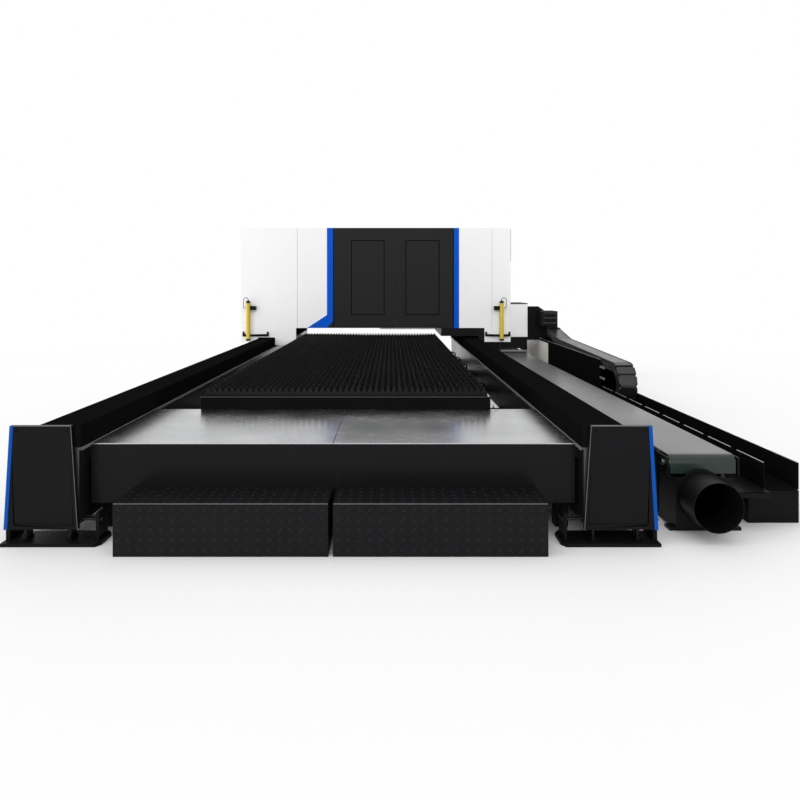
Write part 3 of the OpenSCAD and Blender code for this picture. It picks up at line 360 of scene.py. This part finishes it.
def tread_lugs(name, x0):
    """Raised almond lugs, turned left and right in turn, on a step's top and front."""
    bm = bmesh.new()
    for column in range(LUG_COLUMNS):
        x = x0 + (column + 0.5) * STEP_WIDTH / LUG_COLUMNS
        for row in range(LUG_ROWS):
            slant = Matrix.Rotation(math.radians(45 if (row + column) % 2 else -45), 4, "Z")
            top = at(x, STEP_FRONT + (row + 0.5) * STEP_DEPTH / LUG_ROWS, 294.8)
            front = at(x, STEP_FRONT - 0.8, 5 + (row + 0.5) * STEP_HEIGHT / LUG_ROWS)
            for centre, turn in ((top, Matrix.Identity(4)), (front, FACING_FRONT)):
                bmesh.ops.create_cone(bm, cap_ends=True, segments=10, radius1=0.0175, radius2=0.012,
                                      depth=0.0024, matrix=Matrix.Translation(centre) @ turn @ slant @ ALMOND)
    piece(name, bm, lug_paint, "base")


for name, x0 in STEP_STARTS.items():
    tread_lugs(name, x0)

# Grey lines along the folded top edges of the steps, a painted highlight of the light these edges catch.
bm = bmesh.new()
for x0 in STEP_STARTS.values():
    rod(bm, (x0 + 3, -170.2, 293.4), (x0 + STEP_WIDTH - 3, -170.2, 293.4), 1.8)
piece("step_edge_lines", bm, edge_highlight_grey, "base")


# Slats between those of the drawing, up to the table's far end

HALF_PITCH = 0.1035
bm = bmesh.new()
bm.from_mesh(nodes["slats"].data)
bmesh.ops.remove_doubles(bm, verts=bm.verts, dist=1e-5)
bmesh.ops.translate(bm, vec=(0.0, HALF_PITCH, 0.0), verts=bm.verts)
past = [v for v in bm.verts if v.co.y > at(0, 7590, 0).y]
bmesh.ops.delete(bm, geom=past, context="VERTS")
piece("slats_between", bm, slat_steel, "base")


# Painted highlights: grey strips on the ledges beside the rail covers, pale strips on the chain trough's
# walls, most along their top edges, and grey lines on the caps' top and inner edges stand for the light these
# edges catch

plates("beam_ledge_strips", edge_highlight_grey, "base",
       [(*on_side(side, (1450.5, 31, 543), (1459.8, 8839, 559.5)), 1.0) for side in SIDES])

# Pale strips that paint the highlight along the chain trough walls' top edges.
bm = bmesh.new()
for x in TROUGH_WALLS:
    for y in range(340, 3700, 420):
        block(bm, (x, y, 391), (x + 8, min(y + 330, 3708), 395), 1.0)
    block(bm, (x, 3711, 679), (x + 8, 7999, 683), 1.0)
for z in (470, 590):
    block(bm, (2679, 3560, z), (2686, 3722, z + 22), 1.0)
piece("trough_edge_strips", bm, pale_strip, "base")

# Grey lines that paint the highlight of the caps' top and inner edges.
bm = bmesh.new()
for side in SIDES:
    block(bm, *on_side(side, (1507, -1.5, 688.5), (1852, 3, 692)), 0.5)
    rod(bm, (side * 1466, -0.5, 92), (side * 1505.5, -0.5, 689), 1.6)
piece("cap_edge_lines", bm, edge_highlight_grey, "base")


# Rack teeth

TOOTH_PITCH = 0.0126
TOOTH_COUNT = 692


def rack_teeth(name, side):
    """A row of teeth let into the outer face of a rack bar."""
    bm = bmesh.new()
    block(bm, *on_side(side, (1759.0, 72, 559), (1760.4, 77.5, 587)))
    teeth = piece(name, bm, ground_steel, "base")
    row = teeth.modifiers.new("row", "ARRAY")
    row.use_relative_offset = False
    row.use_constant_offset = True
    row.constant_offset_displace = (0.0, TOOTH_PITCH, 0.0)
    row.count = TOOTH_COUNT


rack_teeth("rack_teeth_left", -1)
rack_teeth("rack_teeth_right", 1)


# Caps and windows of the light curtain posts

caps, windows = bmesh.new(), bmesh.new()
for x, out in POSTS.values():
    for z in (662, 1239):
        disc(caps, (x, POST_Y, z), (0, 0, 1), 33.5, 29, sides=32, top=0.96)
    disc(caps, (x, POST_Y, 1268), (0, 0, 1), 14, 16, sides=20, top=0.6)
    low, high = sorted((x - out * 25, x - out * 30.6))
    block(windows, (low, POST_Y - 10, 700), (high, POST_Y + 10, 1230), 1.0)
piece("curtain_post_caps", caps, black_coat, "gantry")
piece("curtain_windows", windows, curtain_window, "gantry")


# Slat table: a grey line that paints the highlight along its front edge, a pale strip and a gusset at its
# right-hand corner

GUSSET_OUTLINE = ((1109, 636), (1109, 566), (1124, 566), (1130, 590), (1140, 566), (1176, 566))
GUSSET_THICKNESS = 0.005

bm = bmesh.new()
rod(bm, (-1113, 1294.5, 649.5), (1101, 1294.5, 649.5), 1.6)
piece("rim_edge_line", bm, edge_highlight_grey, "base")

bm = bmesh.new()
block(bm, (1092, 1300, 650), (1104, 1560, 656), 1.0)
gusset = bm.faces.new([bm.verts.new(at(x, 1297, z)) for x, z in GUSSET_OUTLINE])
wall = bmesh.ops.extrude_face_region(bm, geom=[gusset])["geom"]
bmesh.ops.translate(bm, verts=[v for v in wall if isinstance(v, bmesh.types.BMVert)],
                    vec=(0, GUSSET_THICKNESS, 0))
piece("rim_gusset", bm, pale_strip, "base")


# Closing plates, linings and skirts

# Plates that close the open front ends of the rail covers beside the caps.
plates("cover_end_plates", black_matt, "base",
       [(*on_side(side, (1458, 30.5, 560), (1512, 34.5, 690)), 1.0) for side in SIDES])

# A sheet between the extraction trough's nose and the chain trough, with a folded edge along its front.
plates("trough_link_sheet", black_sheet, "base",
       [((2436, 240, 228), (2679, 1260, 234), 1.5),
        ((2436, 240, 200), (2679, 246, 234), 1.5)])

# A dark sheet stands on the left leg's inner side where metal sheets pass.
plates("leg_dark_sheet", black_matt, "gantry",
       [((-1124.5, 6722, 728), (-1120, 8060, 838), 1.0),
        ((-1120.5, 6760, 800), (-1117.5, 8020, 806), 0.6)])

# A rubber skirt closes the gap between the right-hand rail's cover and the suction hood.
plates("hood_side_skirt", cable_rubber, "gantry",
       [((1790, 6772, 505), (2048, 6777, 655), 1.5),
        ((1790, 6766, 630), (2048, 6783, 655), 2.0)])


# Leads of the light curtain: each leaves its post's top, bends outwards and goes back into the cabin

LEAD_START = 1267
LEAD_TURN = 1287
LEAD_BEND = 35.0
LEAD_DROP = 90.0
LEAD_BACK = 75.0
LEAD_DIAMETER = 0.0088


def lead_points(x, out):
    """The lead's centre line: a short rise, half a turn, a drop, a quarter turn and a straight end."""
    rise = [(x, POST_Y, LEAD_START), (x, POST_Y, LEAD_START + 10)]
    over = [(x + out * LEAD_BEND * (1 - math.cos(t)), POST_Y, LEAD_TURN + LEAD_BEND * math.sin(t))
            for t in (math.pi * i / 16 for i in range(17))]
    side, low = x + out * 2 * LEAD_BEND, LEAD_TURN - LEAD_DROP
    down = [(side, POST_Y, LEAD_TURN - LEAD_DROP * i / 4) for i in range(1, 4)]
    under = [(side, POST_Y + LEAD_BEND * (1 - math.cos(t)), low - LEAD_BEND * math.sin(t))
             for t in (math.pi * i / 16 for i in range(9))]
    back = [(side, POST_Y + LEAD_BEND + LEAD_BACK * i / 3, low - LEAD_BEND) for i in range(1, 4)]
    return [at(*point) for point in rise + over + down + under + back]


for side, (x, out) in POSTS.items():
    points = lead_points(x, out)
    line = bpy.data.curves.new("curtain_lead_" + side, "CURVE")
    line.dimensions = "3D"
    line.bevel_depth = LEAD_DIAMETER / 2.0
    line.bevel_resolution = 3
    spline = line.splines.new("POLY")
    spline.points.add(len(points) - 1)
    for knot, point in zip(spline.points, points):
        knot.co = (*point, 1.0)
    line.materials.append(cable_rubber)
    lead = bpy.data.objects.new("curtain_lead_" + side, line)
    bpy.context.scene.collection.objects.link(lead)
    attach(lead, "gantry")
    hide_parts("curtain_cables")


# Screws of the caps and the chain trough, bolts of the extraction trough

bm = bmesh.new()
for side in SIDES:
    for x in (1495, 1835):
        disc(bm, (side * x, 0, 120), (0, -1, 0), 9, 5)
    for x in (1535, 1820):
        disc(bm, (side * x, 0, 660), (0, -1, 0), 9, 5)
for y in range(6300, 8000, 280):
    for z in (320, 630):
        disc(bm, (2672, y, z), (-1, 0, 0), 8, 5)
piece("cover_screws", bm, black_coat, "base")

bm = bmesh.new()
for y in range(420, 8500, 400):
    for x in (2056, 2464):
        hex_head(bm, (x, y, 450), (0, 0, 1), 5, 5)
for y in (290, 8630):
    for x, out in ((2038, -1), (2482, 1)):
        hex_head(bm, (x, y, 410), (out, 0, 0), 20, 14)
piece("trough_bolts", bm, ground_steel, "base")


# Cable chain

# The two straight stretches of the upper run, each from y and z to y and z, and the pitch of its links.
UPPER_STRETCHES = (((3347.5, 644), (5710, 709)), ((5710, 709), (6390, 815)))
LINK_PITCH = 100.0
# The lower run's far end, its length at rest and the loop's travel, which draws it out.
LOWER_START = 3748.6
LOWER_REST = 0.4
LOOP_TRAVEL = 2.6
LOWER_LINKS = 30


def link_centres(a, b):
    """Centres of the links along a straight stretch of the chain, as the drawing sets them."""
    a, b = Vector(a), Vector(b)
    count = max(1, round((b - a).length / LINK_PITCH))
    return [a + (b - a) * ((i + 0.5) / count) for i in range(count)]


bm = bmesh.new()
bm.from_mesh(nodes["chain_upper"].data)
bmesh.ops.remove_doubles(bm, verts=bm.verts, dist=1e-5)
for start, end in UPPER_STRETCHES:
    for y, z in link_centres(start, end):
        for side in SIDES:
            disc(bm, (CHAIN_X + side * CHAIN_HALF, y, z), (side, 0, 0), 17, 3, sides=14)
            disc(bm, (CHAIN_X + side * CHAIN_HALF, y + 34, z), (side, 0, 0), 9, 4, sides=10)
upper = piece("chain_upper_run", bm, chain_nylon, None)
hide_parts("chain_upper")
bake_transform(upper)


def smooth_share(t):
    """The share of the far body's motion that a blend gives at a share of its length."""
    return t * t * (3.0 - 2.0 * t)


def link_edge(i):
    """Where a link of the lower run ends at rest, so that all are even when the gantry is at the front."""
    low, high = 0.0, 1.0
    for _ in range(40):
        mid = (low + high) / 2.0
        if LOWER_REST * mid + LOOP_TRAVEL * smooth_share(mid) < (LOWER_REST + LOOP_TRAVEL) * i / LOWER_LINKS:
            low = mid
        else:
            high = mid
    return LOWER_START - 1000.0 * LOWER_REST * low


# The lower run pays out from a folded stack.
edges = [link_edge(i) for i in range(LOWER_LINKS + 1)]
bm = bmesh.new()
for a, b in zip(edges[1:], edges[:-1]):
    gap = (b - a) * 0.04
    for x in (2695, 2867):
        block(bm, (x, a + gap, 234), (x + 18, b - gap, 334))
    for z, inset in ((238, 1.5), (318, 6.0)):
        block(bm, (2713, a + inset * gap, z), (2867, b - inset * gap, z + 12))
lower = piece("chain_lower_run", bm, chain_nylon, None)
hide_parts("chain_lower")
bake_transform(lower)

bm = bmesh.new()
for i in range(6):
    turn = math.radians(255 - 30 * i)
    y = LOOP_Y + LOOP_RADIUS * math.cos(turn)
    z = LOOP_Z + LOOP_RADIUS * math.sin(turn)
    for side in SIDES:
        disc(bm, (CHAIN_X + side * CHAIN_HALF, y, z), (side, 0, 0), 17, 3, sides=14)
piece("chain_loop_pins", bm, chain_nylon, "chain_loop")

# A curved band under the loop's lids closes the gaps that open between them in the bend.
BAND_SECTION = ((2713, 213), (2867, 213), (2867, 217), (2713, 217))
loop_centre = at(CHAIN_X, LOOP_Y, LOOP_Z)
bm = bmesh.new()
band = bm.faces.new([bm.verts.new(at(x, LOOP_Y, LOOP_Z + radius)) for x, radius in BAND_SECTION])
bmesh.ops.rotate(bm, verts=bm.verts, cent=loop_centre, matrix=Matrix.Rotation(math.radians(-5), 3, "X"))
bmesh.ops.spin(bm, geom=[band, *band.edges, *band.verts], cent=loop_centre, axis=(1, 0, 0), dvec=(0, 0, 0),
               angle=math.radians(190), steps=36, use_merge=False)
piece("chain_loop_band", bm, chain_nylon, "chain_loop")

# The clamp that holds the chain's last link under the hanger.
bm = bmesh.new()
block(bm, (2692, 6352, 862), (2888, 6404, 870), 2.0)
block(bm, (2692, 6352, 758), (2888, 6404, 766), 2.0)
for x in (2720, 2860):
    hex_head(bm, (x, 6378, 870), (0, 0, 1), 10, 8)
piece("chain_clamp", bm, black_coat, "gantry")


# Black strips in the groove round each door's panel, a painted shade that makes the groove read dark

GROOVE_LOW = 1050
GROOVE_HIGH = 2210
GROOVE = 14
for leaf, x0, x1 in (("door_left", -272.5, 247.5), ("door_right", 570.5, 1100.5)):
    bm = bmesh.new()
    for x in (x0, x1 - GROOVE):
        block(bm, (x + 1, 6703, GROOVE_LOW + 1), (x + GROOVE - 1, 6709, GROOVE_HIGH - 1), 0.8)
    for z in (GROOVE_LOW, GROOVE_HIGH - GROOVE):
        block(bm, (x0 + GROOVE - 1, 6703, z + 1), (x1 - GROOVE + 1, 6709, z + GROOVE - 1), 0.8)
    piece(leaf + "_seal", bm, black_matt, leaf)


# Ribs and bolts on the box that hangs the chain

bm = bmesh.new()
for z in (935, 1010, 1085):
    block(bm, (2640, 6393, z), (2840, 6399, z + 16), 2.0)
for x in (2650, 2830):
    for z in (975, 1055):
        hex_head(bm, (x, 6398, z), (0, -1, 0), 9, 7)
piece("hanger_ribs", bm, casting_paint, "gantry")


# Cabin: the cabinet's door and lid, strips behind the sheet's passage, an edge seal

plates("cabinet_door", white_enamel, "gantry",
       [((2214, 6736, 735), (2456, 6740.5, 1196), 2.0)])
plates("cabinet_lid", black_coat, "gantry",
       [((2201, 6734, 1220), (2473, 7404, 1232), 2.0)])

STRIP_COUNT = 17
bm = bmesh.new()
for i in range(STRIP_COUNT):
    x = 150 + i * 60
    y = 8202 + 3 * (i % 2)
    block(bm, (x, y, 736), (x + 64, y + 3, 870), 0.8)
piece("passage_strips", bm, strip_pvc, "gantry")

plates("cabin_edge_seal", cable_rubber, "gantry",
       [((RIGHT_FACE, 6701, 1890), (2205, 6729, 2385), 0.8)])


# Hatches on the roof, the sides and the back wall, and louvres beside the back hatch

ROOF_HATCHES = (((-1500, 6950, ROOF_FACE), (-300, 8000, 2403)),
                ((-100, 6950, ROOF_FACE), (1900, 8000, 2403)))
SIDE_HATCHES = (((-1983, 6900, 1000), (LEFT_FACE, 7500, 2200), -1),
                ((-1983, 7540, 1000), (LEFT_FACE, 8060, 2200), -1),
                ((RIGHT_FACE, 7460, 900), (2204, 8060, 2200), 1))
LOUVRE_ROWS = 16
bm, heads = bmesh.new(), bmesh.new()
for low, high in ROOF_HATCHES:
    block(bm, low, high, 1.5)
    for x in range(low[0] + 40, high[0], 280):
        for y in (6990, 7960):
            disc(heads, (x, y, 2403), (0, 0, 1), 8, 4)
for low, high, out in SIDE_HATCHES:
    block(bm, low, high, 1.5)
    face = low[0] if out < 0 else high[0]
    for y in (low[1] + 30, high[1] - 30):
        for z in range(low[2] + 40, high[2], 280):
            disc(heads, (face, y, z), (out, 0, 0), 8, 4)
block(bm, (-420, BACK_FACE, 920), (420, 8204, 2250), 1.5)
for x in (-1640, 1000):
    for row in range(LOUVRE_ROWS):
        z = 1250 + row * 42
        block(bm, (x, BACK_FACE, z), (x + 640, 8205, z + 16), 1.5)
        block(bm, (x, BACK_FACE, z + 14), (x + 640, 8209, z + 20), 1.0)
for z in range(960, 2250, 310):
    for x in (-390, 390):
        disc(heads, (x, 8204, z), (0, 1, 0), 8, 4)
piece("cabin_hatches", bm, white_enamel, "gantry")
piece("hatch_screws", heads, ground_steel, "gantry")

# Recessed pulls on the hatches, and black strips that paint the shade in the cabinet's vent slots.
bm = bmesh.new()
block(bm, (300, 8203, 1540), (345, 8209, 1680), 2.0)
for y in (7440, 7575):
    block(bm, (-1987, y, 1540), (-1982, y + 30, 1660), 2.0)
block(bm, (2203, 7490, 1500), (2208, 7520, 1620), 2.0)
# Painted shade: the vent slots are black strips on the face, not openings.
for row in range(6):
    block(bm, (2469.5, 6900 + row * 60, 1060), (2471.5, 6930 + row * 60, 1160), 0.5)
piece("hatch_pulls", bm, black_coat, "gantry")


# Drives and cutting head

bm = bmesh.new()
for side in SIDES:
    x = side * MOTOR_X
    for z in range(776, 950, 16):
        block(bm, (x - 66, MOTOR_Y - 66, z), (x + 66, MOTOR_Y + 66, z + 5))
    block(bm, (x - 28, 6905, 925), (x + 28, 6941, 962), 3.0)
    disc(bm, (x, MOTOR_Y, 968), (0, 0, 1), 50, 26, sides=24)
piece("motor_fins", bm, casting_paint, "gantry")

bm = bmesh.new()
bmesh.ops.create_cone(bm, cap_ends=True, segments=32, radius1=0.0046, radius2=0.0147, depth=0.0262,
                      matrix=Matrix.Translation(at(*HEAD_AXIS, 842.7)))
piece("nozzle_tip", bm, copper, "cutting_head")

bm = bmesh.new()
for z in (925, 960, 1000):
    bmesh.ops.create_cone(bm, cap_ends=True, segments=32, radius1=0.0395, radius2=0.0395, depth=0.006,
                          matrix=Matrix.Translation(at(*HEAD_AXIS, z)))
block(bm, (-36, 7006, 1070), (36, 7011, 1130), 2.0)
block(bm, (-36, 7006, 1160), (36, 7011, 1250), 2.0)
piece("head_rings", bm, charcoal_paint, "cutting_head")


# Joints of the troughs and bolts along the rails

bm = bmesh.new()
for y in range(500, 8500, 1000):
    for x in (2079.5, 2435.5):
        block(bm, (x, y, 30), (x + 5, y + 40, 440), 1.0)
    wall_top = 388 if y < 3600 else 676
    block(bm, (2899.5, y + 120, 232), (2903.5, y + 180, wall_top), 1.0)
piece("trough_joints", bm, black_sheet, "base")

bm = bmesh.new()
for side in SIDES:
    for y in range(260, 8700, 420):
        hex_head(bm, (side * 1850, y, 520), (side, 0, 0), 12, 8)
piece("rail_bolts", bm, ground_steel, "base")


# Floor, light and camera

bm = bmesh.new()
bmesh.ops.create_grid(bm, x_segments=1, y_segments=1, size=45.0)
mesh = bpy.data.meshes.new("studio_floor")
bm.to_mesh(mesh)
bm.free()
floor = bpy.data.objects.new("studio_floor", mesh)
bpy.context.scene.collection.objects.link(floor)
floor.location.z = -0.0005
# Matt pale studio paper, which fades out far from the machine so that no edge shows against the white.
paper = surface("studio_paper", "#FDFCFD", "#FBFAFB", 0.6, level=0.1,
                cloud_mm=4000, grain_mm=20, depth_mm=0.01)
tree = paper.node_tree
place = add(tree, "ShaderNodeTexCoord").outputs["Object"]
reach = add(tree, "ShaderNodeVectorMath", links={0: place}, operation="LENGTH").outputs["Value"]
fade = add(tree, "ShaderNodeMapRange", {"From Min": 5.5, "From Max": 11.0}, {"Value": reach}).outputs[0]
clear = add(tree, "ShaderNodeBsdfTransparent").outputs[0]
sheet = tree.nodes["Principled BSDF"].outputs[0]
faded = add(tree, "ShaderNodeMixShader", links={0: fade, 1: sheet, 2: clear})
tree.links.new(faded.outputs[0], tree.nodes["Material Output"].inputs["Surface"])
mesh.materials.append(paper)

# The studio is white to the camera and in mirrors, and lights the machine a little less than that.
world = bpy.data.worlds.new("studio")
bpy.context.scene.world = world
world.use_nodes = True
tree = world.node_tree
tree.nodes.clear()
path = add(tree, "ShaderNodeLightPath").outputs
seen = add(tree, "ShaderNodeMath", links={0: path["Is Camera Ray"], 1: path["Is Glossy Ray"]},
           operation="MAXIMUM").outputs[0]
seen = add(tree, "ShaderNodeMath", links={0: seen, 1: path["Is Transmission Ray"]},
           operation="MAXIMUM").outputs[0]
fill = add(tree, "ShaderNodeBackground", {"Color": (1.0, 1.0, 1.0, 1.0), "Strength": 0.74}).outputs[0]
white = add(tree, "ShaderNodeBackground", {"Color": (1.0, 1.0, 1.0, 1.0), "Strength": 1.0}).outputs[0]
mixed = add(tree, "ShaderNodeMixShader", links={0: seen, 1: fill, 2: white}).outputs[0]
add(tree, "ShaderNodeOutputWorld", links={"Surface": mixed})


def sun(name, aim, strength, spread_deg):
    """A wide soft lamp that shines along a direction."""
    lamp = bpy.data.lights.new(name, "SUN")
    lamp.energy = strength
    lamp.angle = math.radians(spread_deg)
    made = bpy.data.objects.new(name, lamp)
    made.rotation_euler = Vector(aim).to_track_quat("-Z", "Y").to_euler()
    bpy.context.scene.collection.objects.link(made)


sun("overhead_light", (0.1, 0.15, -1.0), 0.4, 60.0)
sun("front_light", (0.15, 1.0, -0.35), 1.05, 40.0)
sun("side_light", (1.0, 0.25, -0.35), 0.6, 50.0)

lens = bpy.data.cameras.new("camera")
lens.sensor_width = 36.0
lens.lens = 31.05
lens.shift_x = 0.01125
lens.shift_y = -0.1425
lens.clip_end = 200.0
camera = bpy.data.objects.new("camera", lens)
camera.location = at(347, -3990, 1500)
camera.rotation_euler = (math.radians(90), 0.0, 0.0)
bpy.context.scene.collection.objects.link(camera)
bpy.context.scene.camera = camera
bpy.context.scene.view_settings.view_transform = "Standard"
